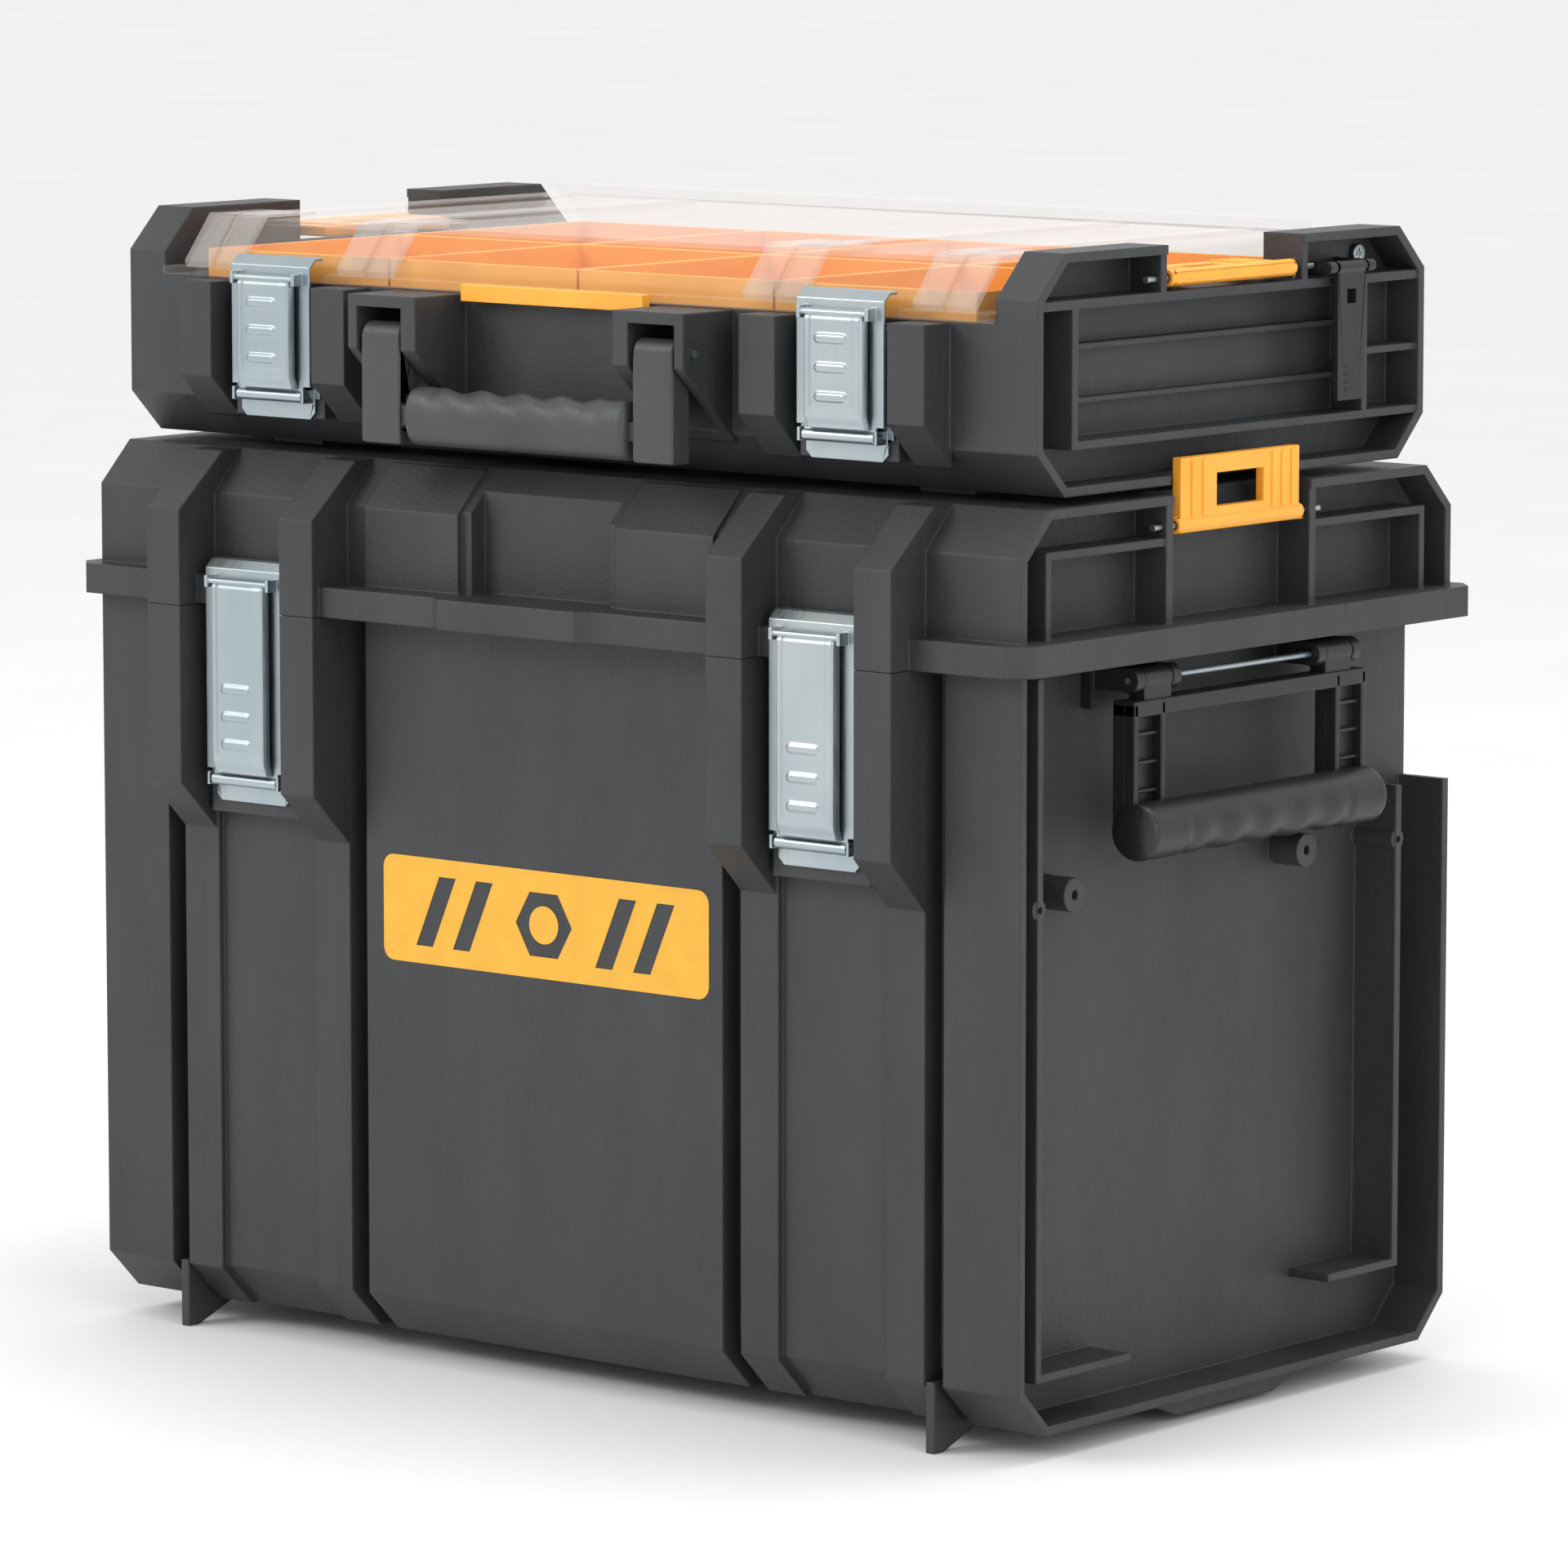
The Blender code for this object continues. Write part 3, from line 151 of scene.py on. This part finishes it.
def clearPlastic(name, thin, thick):
    finish, tree, shader = startFinish(name, (0.70, 0.67, 0.63), 0.07)
    rim = tree.nodes.new("ShaderNodeLayerWeight")
    rim.inputs["Blend"].default_value = 0.3
    tree.links.new(spread(tree, rim.outputs["Facing"], thin, thick, 0.3, 0.98), shader.inputs["Alpha"])
    wave = noise(tree, 45, 2)
    tree.links.new(spread(tree, wave, 0.04, 0.12), shader.inputs["Roughness"])
    shader.inputs["Specular IOR Level"].default_value = 0.5
    relief(tree, shader, ((wave, 0.12, 0.0008),))
    return finish


def printedInk(name, color):
    finish, tree, shader = startFinish(name, color, 0.55)
    speck = noise(tree, 1300, 2)
    worn = noise(tree, 70, 6)
    tree.links.new(tint(tree, spread(tree, worn, 0, 1), [c * 0.9 for c in color], color),
                   shader.inputs["Base Color"])
    relief(tree, shader, ((speck, 0.3, 0.0002),))
    return finish


finishes = {
    "charcoal": mouldedPlastic("charcoalMoulding", (0.021, 0.022, 0.024), (0.031, 0.0325, 0.035), 0.5, 0.6,
                               0.0013),
    "black": mouldedPlastic("blackMoulding", (0.007, 0.007, 0.008), (0.013, 0.0135, 0.0145), 0.4, 0.3),
    "grey": mouldedPlastic("greyGrip", (0.030, 0.033, 0.036), (0.043, 0.046, 0.050), 0.46, 0.35),
    "zinc": zincPlate("zincPlate"),
    "steel": zincPlate("brightSteel"),
    "amber": amberPlastic("amberMoulding", (0.86, 0.345, 0.026), (0.95, 0.42, 0.045)),
    "rubber": mouldedPlastic("sealRubber", (0.012, 0.012, 0.012), (0.02, 0.02, 0.02), 0.75, 0.2),
    "clear": clearPlastic("clearMoulding", 0.06, 0.34),
}
clearRib = clearPlastic("clearRib", 0.18, 0.55)
ink = printedInk("yellowInk", (0.78, 0.40, 0.03))
print("finishes made")


# pieces

def smoothFaces():
    group = bpy.data.node_groups.new("smoothFaces", "GeometryNodeTree")
    group.interface.new_socket(name="Geometry", in_out="INPUT", socket_type="NodeSocketGeometry")
    group.interface.new_socket(name="Geometry", in_out="OUTPUT", socket_type="NodeSocketGeometry")
    start, end = group.nodes.new("NodeGroupInput"), group.nodes.new("NodeGroupOutput")
    smooth = group.nodes.new("GeometryNodeSetShadeSmooth")
    group.links.new(start.outputs[0], smooth.inputs["Geometry"])
    group.links.new(smooth.outputs[0], end.inputs[0])
    return group


smoothGroup = smoothFaces()


def soften(piece, width, segments=2, angle=32):
    edge = piece.modifiers.new("roundedEdges", "BEVEL")
    edge.width = width
    edge.segments = segments
    edge.limit_method = "ANGLE"
    edge.angle_limit = math.radians(angle)
    edge.use_clamp_overlap = False
    smooth = piece.modifiers.new("smoothFaces", "NODES")
    smooth.node_group = smoothGroup
    shade = piece.modifiers.new("evenShading", "WEIGHTED_NORMAL")
    shade.weight = 90


def dressNode(name, width, segments=2):
    node = frame["nodes"][name]
    weld = node.modifiers.new("closeSeams", "WELD")
    weld.merge_threshold = 0.00012 if name in bigMouldings else 0.000004
    flat = node.modifiers.new("flatFaces", "DECIMATE")
    flat.decimate_type = "DISSOLVE"
    flat.angle_limit = math.radians(0.8)
    if width:
        soften(node, width, segments)
    for place_ in node.material_slots:
        place_.link = "OBJECT"
        place_.material = finishes[slotOf[name]]


bigMouldings = ("case_tub", "case_lid", "organizer_tub")
edgeWidths = {"case_tub": 0.0, "case_lid": 0.0, "organizer_tub": 0.0, "organizer_lid": 0.0006,
              "carry_handle": 0.0012, "side_handle": 0.0010, "stack_latch": 0.0007, "spare_stack": 0.0007}


def dressFrame():
    for name in frame["nodes"]:
        width = next((w for start, w in edgeWidths.items() if name.startswith(start)), 0.0004)
        if "pin" in name or name == "lid_gasket":
            width = 0.0
        if name.startswith("bin"):
            width = 0.0005
        dressNode(name, width)


def addPiece(name, bm, slotName, body, finish=None):
    mesh = bpy.data.meshes.new(name)
    bmesh.ops.recalc_face_normals(bm, faces=bm.faces)
    bm.to_mesh(mesh)
    bm.free()
    mesh.materials.append(finish or finishes[slotName])
    for face in mesh.polygons:
        face.use_smooth = True
    piece = bpy.data.objects.new(name, mesh)
    bpy.context.scene.collection.objects.link(piece)
    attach(piece, body)
    return piece


def addBlock(bm, x, y, z):
    corners = [bm.verts.new((a, b, c)) for a in x for b in y for c in z]
    for face in ((0, 1, 3, 2), (4, 6, 7, 5), (0, 4, 5, 1), (2, 3, 7, 6), (0, 2, 6, 4), (1, 5, 7, 3)):
        bm.faces.new([corners[i] for i in face])


def loft(bm, rings):
    rows = [[bm.verts.new(p) for p in ring] for ring in rings]
    count = len(rows[0])
    for near, far in zip(rows, rows[1:]):
        for i in range(count):
            bm.faces.new((near[i], near[(i + 1) % count], far[(i + 1) % count], far[i]))
    bm.faces.new(rows[0])
    bm.faces.new(rows[-1][::-1])


def easeIn(value):
    value = min(1.0, max(0.0, value))
    return value * value * (3 - 2 * value)


dressFrame()
print("frame dressed")

carryGrip = {"bumps": 5.5, "bumpDepth": 0.0021, "lean": 0.55, "rings": 110, "around": 40, "endRound": 0.0035}


def addCarryGrip():
    low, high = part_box("carry_grip")
    middle, half = (low + high) / 2, (high - low) / 2
    rings = []
    for step in range(carryGrip["rings"] + 1):
        along = -1 + 2 * step / carryGrip["rings"]
        fromEnd = (1 - abs(along)) * half.x
        close = math.sqrt(max(0.0, 1 - (1 - min(1, fromEnd / carryGrip["endRound"])) ** 2)) * 0.16 + 0.84
        ring = []
        for turn in range(carryGrip["around"]):
            angle = 2 * math.pi * turn / carryGrip["around"]
            topFront = max(0.0, math.sin(angle - 0.15)) ** 1.3
            phase = carryGrip["bumps"] * along / 2 + carryGrip["lean"] * math.cos(angle)
            wave = 0.5 - 0.5 * math.cos(2 * math.pi * phase)
            inner = carryGrip["bumpDepth"] * wave * topFront * easeIn((fromEnd - 0.008) / 0.008)
            c, s = math.cos(angle), math.sin(angle)
            y = (half.y - inner * 0.5) * math.copysign(abs(c) ** 0.82, c) * close
            z = (half.z - inner) * math.copysign(abs(s) ** 0.82, s) * close
            ring.append((middle.x + along * half.x, middle.y + y, middle.z + z))
        rings.append(ring)
    bm = bmesh.new()
    loft(bm, rings)
    piece = addPiece("carryGripMoulding", bm, "grey", bodyOf["carry_grip"])
    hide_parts("carry_grip")


addCarryGrip()

sideHandle = {"grooves": 5, "grooveDepth": 0.0013, "rings": 90, "around": 32, "leg": 0.022,
              "sheetWall": 0.003}


def addSideHandle(name, side):
    low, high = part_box(f"side_handle_{name}")
    outer = high.x if side > 0 else -low.x
    gripRadius, halfLength = 0.0125, high.y
    gripX, gripZ = outer - gripRadius, low.z + gripRadius
    pivotX, pivotZ = gripX - 0.006, high.z - 0.0053
    bm = bmesh.new()
    rings = []
    for step in range(sideHandle["rings"] + 1):
        along = -1 + 2 * step / sideHandle["rings"]
        fromEnd = (1 - abs(along)) * halfLength
        close = 0.9 + 0.1 * math.sqrt(max(0.0, 1 - (1 - min(1, fromEnd / 0.002)) ** 2))
        ring = []
        for turn in range(sideHandle["around"]):
            angle = 2 * math.pi * turn / sideHandle["around"]
            under = max(0.0, math.cos(angle + 0.9)) ** 0.8
            wave = 0.5 - 0.5 * math.cos(2 * math.pi * sideHandle["grooves"] * along / 1.45)
            held = easeIn((0.72 - abs(along)) / 0.06)
            radius = (gripRadius - sideHandle["grooveDepth"] * wave * under * held) * close
            ring.append(((gripX + radius * math.cos(angle)) * side, along * halfLength,
                         gripZ + radius * math.sin(angle)))
        rings.append(ring)
    loft(bm, rings)
    piece = addPiece(f"sideHandleGrip_{name}", bm, "black", bodyOf[f"side_handle_{name}"])
    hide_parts(f"side_handle_{name}")

    frameMesh = bmesh.new()
    barTop = pivotZ - 0.0085
    inX, outX = pivotX - 0.006, pivotX + 0.006
    reach = halfLength - 0.001
    leg, wall = sideHandle["leg"], sideHandle["sheetWall"]

    def slab(x, y, z):
        addBlock(frameMesh, [v * side for v in x], y, z)
    slab((inX, outX), (-reach, reach), (barTop - 0.007, barTop))
    for end in (-1, 1):
        outerY, innerY = end * reach, end * (reach - leg)
        slab((inX, pivotX + 0.001), (innerY, outerY), (gripZ, barTop - 0.001))  # the leg's web
        slab((pivotX, outX), (outerY - end * wall, outerY), (gripZ, barTop - 0.001))
        slab((pivotX, outX), (innerY, innerY + end * wall), (gripZ, barTop - 0.001))
        for height in (0.30, 0.52, 0.74):
            z = gripZ + height * (barTop - gripZ)
            slab((pivotX, outX - 0.002), (innerY, outerY), (z - 0.0009, z + 0.0009))
        slab((pivotX - 0.0045, pivotX + 0.0045), (end * 0.056, end * 0.075), (barTop - 0.001, pivotZ))
    shell = addPiece(f"sideHandleFrame_{name}", frameMesh, "black", bodyOf[f"side_handle_{name}"])
    soften(shell, 0.0008, 3)
    knuckles = bmesh.new()
    for end in (-1, 1):
        loft(knuckles, [[((pivotX + 0.0053 * math.cos(a)) * side, y, pivotZ + 0.0053 * math.sin(a))
                         for a in (2 * math.pi * k / 24
                                   for k in range(24))] for y in sorted((end * 0.056, end * 0.075))])
    ears = addPiece(f"sideHandleKnuckles_{name}", knuckles, "black", bodyOf[f"side_handle_{name}"])
    soften(ears, 0.0005)


for name, side in sides:
    addSideHandle(name, side)
print("handles made")

lever = {"columns": 56, "rows": 120, "sheet": 0.0010, "sideRise": 0.0034, "sideWidth": 0.0022,
         "topRise": 0.0030, "topHeight": 0.005, "lipRise": 0.0020, "lipHeight": 0.008,
         "channelHalf": 0.0128, "channelRise": 0.0004, "bars": 3, "firstBar": 0.0135,
         "barPitch": 0.0125, "barRise": 0.0014, "barHalf": 0.0094, "barRadius": 0.0027}


def addLever(name):
    low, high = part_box(name)
    middleX, halfX, height = (low.x + high.x) / 2, (high.x - low.x) / 2, high.z - low.z
    baseY = low.y + 0.0015
    columns, rows = lever["columns"], lever["rows"]
    bm = bmesh.new()
    grid = []
    for row in range(rows + 1):
        up = height * row / rows
        line = []
        for column in range(columns + 1):
            x = -halfX + 2 * halfX * column / columns
            y = baseY
            folded = easeIn((abs(x) - halfX + lever["sideWidth"]) / lever["sideWidth"])
            rolled = easeIn((up - height + lever["topHeight"]) / lever["topHeight"])
            lipped = easeIn((lever["lipHeight"] - up) / lever["lipHeight"])
            channel = easeIn((lever["channelHalf"] - abs(x)) / 0.0020)
            y += lever["sideRise"] * folded ** 1.5
            y += lever["topRise"] * rolled ** 2
            y += lever["lipRise"] * lipped ** 1.6
            y -= lever["channelRise"] * channel * easeIn((up - 0.007) / 0.003)
            for bar in range(lever["bars"]):
                centre = lever["firstBar"] + bar * lever["barPitch"]
                side = max(0.0, abs(x) - lever["barHalf"] + lever["barRadius"])
                away = math.hypot(side, up - centre)
                y -= (lever["barRise"] - lever["channelRise"]) * easeIn((lever["barRadius"] - away) / 0.0017)
            line.append(bm.verts.new((middleX + x, y, low.z + up)))
        grid.append(line)
    for near, far in zip(grid, grid[1:]):
        for i in range(columns):
            bm.faces.new((near[i], near[i + 1], far[i + 1], far[i]))
    piece = addPiece(f"{name}_pressing", bm, "zinc", bodyOf[name])
    sheet = piece.modifiers.new("sheet", "SOLIDIFY")
    sheet.thickness = lever["sheet"]
    sheet.offset = -1
    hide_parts(name)


for name, _ in sides:
    addLever(f"case_latch_lever_{name}")
    addLever(f"organizer_latch_lever_{name}")
print("latch levers made")

stackRibs = {"places": (-0.0345, -0.0265, 0.0235, 0.0305, 0.0375), "half": 0.0013, "rise": 0.0008}


def addStackRibs(name, side, folded):
    node = f"{'spare_' if folded else ''}stack_latch_{name}"
    low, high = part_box(node)
    bm = bmesh.new()
    for y in stackRibs["places"]:
        span = (y - stackRibs["half"], y + stackRibs["half"])
        if folded:
            top = (low.z + high.z) / 2 + 0.0025
            near = low.x + 0.0015 if side > 0 else high.x - 0.0015
            far = near + side * 0.023
            addBlock(bm, (near, far), span, (top - 0.0003, top + stackRibs["rise"]))
        else:
            face = (low.x + high.x) / 2 + side * 0.0025
            addBlock(bm, (face - side * 0.0003, face + side * stackRibs["rise"]), span,
                     (low.z + 0.0075, high.z - 0.0012))
    piece = addPiece(f"{'spare' if folded else 'stack'}LatchRibs_{name}", bm, "amber", bodyOf[node])
    soften(piece, 0.0003)


for name, side in sides:
    addStackRibs(name, side, False)
    addStackRibs(name, side, True)
print("stack latch ribs made")

label = {"x": (-0.094, 0.097), "z": (0.184, 0.232), "corner": 0.006, "stripe": 0.010, "nut": 0.0165,
         "nutHole": 0.0085,
         "stripes": 2, "firstStripe": 0.042, "stripePitch": 0.022, "slant": 0.014, "margin": 0.008,
         "extrude": 0.00012, "standOff": 0.00016}


def addLabel():
    # a plain panel with a blank nut and slanted end stripes
    curve = bpy.data.curves.new("frontLabel", "CURVE")
    curve.dimensions = "2D"
    curve.fill_mode = "BOTH"
    curve.extrude = label["extrude"]
    (x0, x1), (z0, z1) = label["x"], label["z"]
    r, middle = label["corner"], ((x0 + x1) / 2, (z0 + z1) / 2)

    def outline(points):
        spline = curve.splines.new("POLY")
        spline.points.add(len(points) - 1)
        for point, (u, v) in zip(spline.points, points):
            point.co = (u, v, 0, 1)
        spline.use_cyclic_u = True
    corners = ((x1 - r, z1 - r, 0), (x0 + r, z1 - r, 1), (x0 + r, z0 + r, 2), (x1 - r, z0 + r, 3))
    outline([(cx + r * math.cos((q + k / 6) * math.pi / 2), cz + r * math.sin((q + k / 6) * math.pi / 2))
             for cx, cz, q in corners for k in range(7)])
    outline([(middle[0] + label["nut"] * math.cos(k * math.pi / 3),
              middle[1] + label["nut"] * math.sin(k * math.pi / 3))
             for k in range(6)])
    outline([(middle[0] + label["nutHole"] * math.cos(k * math.pi / 16),
              middle[1] + label["nutHole"] * math.sin(k * math.pi / 16))
             for k in range(32)])
    w, slant = label["stripe"], label["slant"]
    low, high = z0 + label["margin"], z1 - label["margin"]
    for end in (-1, 1):
        for row in range(label["stripes"]):
            start = middle[0] + end * (label["firstStripe"] + row * label["stripePitch"]) - w / 2
            outline([(start - slant / 2, low), (start + w - slant / 2, low),
                     (start + w + slant / 2, high), (start + slant / 2, high)])
    piece = bpy.data.objects.new("frontLabel", curve)
    bpy.context.scene.collection.objects.link(piece)
    piece.rotation_euler = (math.pi / 2, 0, 0)
    piece.location = (0, -backWall - label["standOff"], 0)
    curve.materials.append(ink)
    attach(piece, bodyOf["case_tub"])


addLabel()
print("label made")

lidSteps = {"thick": 0.0018, "half": 0.0080, "offsets": (-0.056, -0.038, 0.038, 0.056)}


def addLidSteps():
    low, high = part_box("organizer_lid")
    frontY, baseZ = low.y + 0.004, low.z + 0.0045
    topZ = high.z - 0.0055
    bm = bmesh.new()
    latchXs = [sum(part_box(f"organizer_latch_hook_{n}")[k].x for k in (0, 1)) / 2 for n, _ in sides]
    for x in latchXs:
        for offset in lidSteps["offsets"]:
            span = (x + offset - lidSteps["half"], x + offset + lidSteps["half"])
            t = lidSteps["thick"]
            outline = [(frontY + 0.0006, baseZ + 0.004), (frontY - 0.0009, baseZ + 0.007),
                       (frontY + 0.016, topZ + t * 0.9), (frontY + 0.050, topZ + t * 0.9),
                       (frontY + 0.052, topZ + 0.0002), (frontY + 0.019, topZ + 0.0002)]
            loft(bm, [[(s, y, z) for y, z in outline] for s in span])
    piece = addPiece("clearLidSteps", bm, "clear", bodyOf["organizer_lid"], clearRib)
    soften(piece, 0.0005)


addLidSteps()
print("clear lid steps made")


# stage, lights and camera

def addStage():
    bm = bmesh.new()
    addBlock(bm, (-40, 40), (-40, 40), (-0.02, 0.0))
    mesh = bpy.data.meshes.new("paleFloor")
    bm.to_mesh(mesh)
    bm.free()
    floor = bpy.data.objects.new("paleFloor", mesh)
    bpy.context.scene.collection.objects.link(floor)
    finish, tree, shader = startFinish("palePaper", (0.86, 0.86, 0.86), 0.7)
    paper = noise(tree, 4, 4)
    tree.links.new(tint(tree, spread(tree, paper, 0, 1), (0.85, 0.85, 0.85), (0.88, 0.88, 0.88)),
                   shader.inputs["Base Color"])
    mesh.materials.append(finish)


lights = (
    ("keyLight", (-1.5, -2.3, 1.9), 1.4, 32),
    ("fillLight", (2.4, -0.9, 1.1), 1.4, 14),
    ("topLight", (0.3, 0.4, 2.2), 1.2, 16),
)


def addLights():
    for name, spot, size, power in lights:
        light = bpy.data.lights.new(name, "AREA")
        light.size = size
        light.energy = power
        lamp = bpy.data.objects.new(name, light)
        lamp.location = spot
        lamp.rotation_euler = (Vector((0, 0, 0.25)) - Vector(spot)).to_track_quat("-Z", "Y").to_euler()
        bpy.context.scene.collection.objects.link(lamp)
    world = bpy.data.worlds.new("studio")
    world.use_nodes = True
    world.node_tree.nodes["Background"].inputs["Color"].default_value = (1, 1, 1, 1)
    world.node_tree.nodes["Background"].inputs["Strength"].default_value = 1.0
    bpy.context.scene.world = world


def addCamera():
    lens = bpy.data.cameras.new("camera")
    lens.lens = 189.1
    lens.clip_end = 50
    camera = bpy.data.objects.new("camera", lens)
    camera.location = (2.382, -2.856, 0.742)
    camera.rotation_euler = Vector((-0.6335, 0.7628, -0.1298)).to_track_quat("-Z", "Y").to_euler()
    bpy.context.scene.collection.objects.link(camera)
    bpy.context.scene.camera = camera


addStage()
addLights()
addCamera()
bpy.context.scene.view_settings.view_transform = "Standard"
bpy.context.view_layer.update()
print("scene ready")
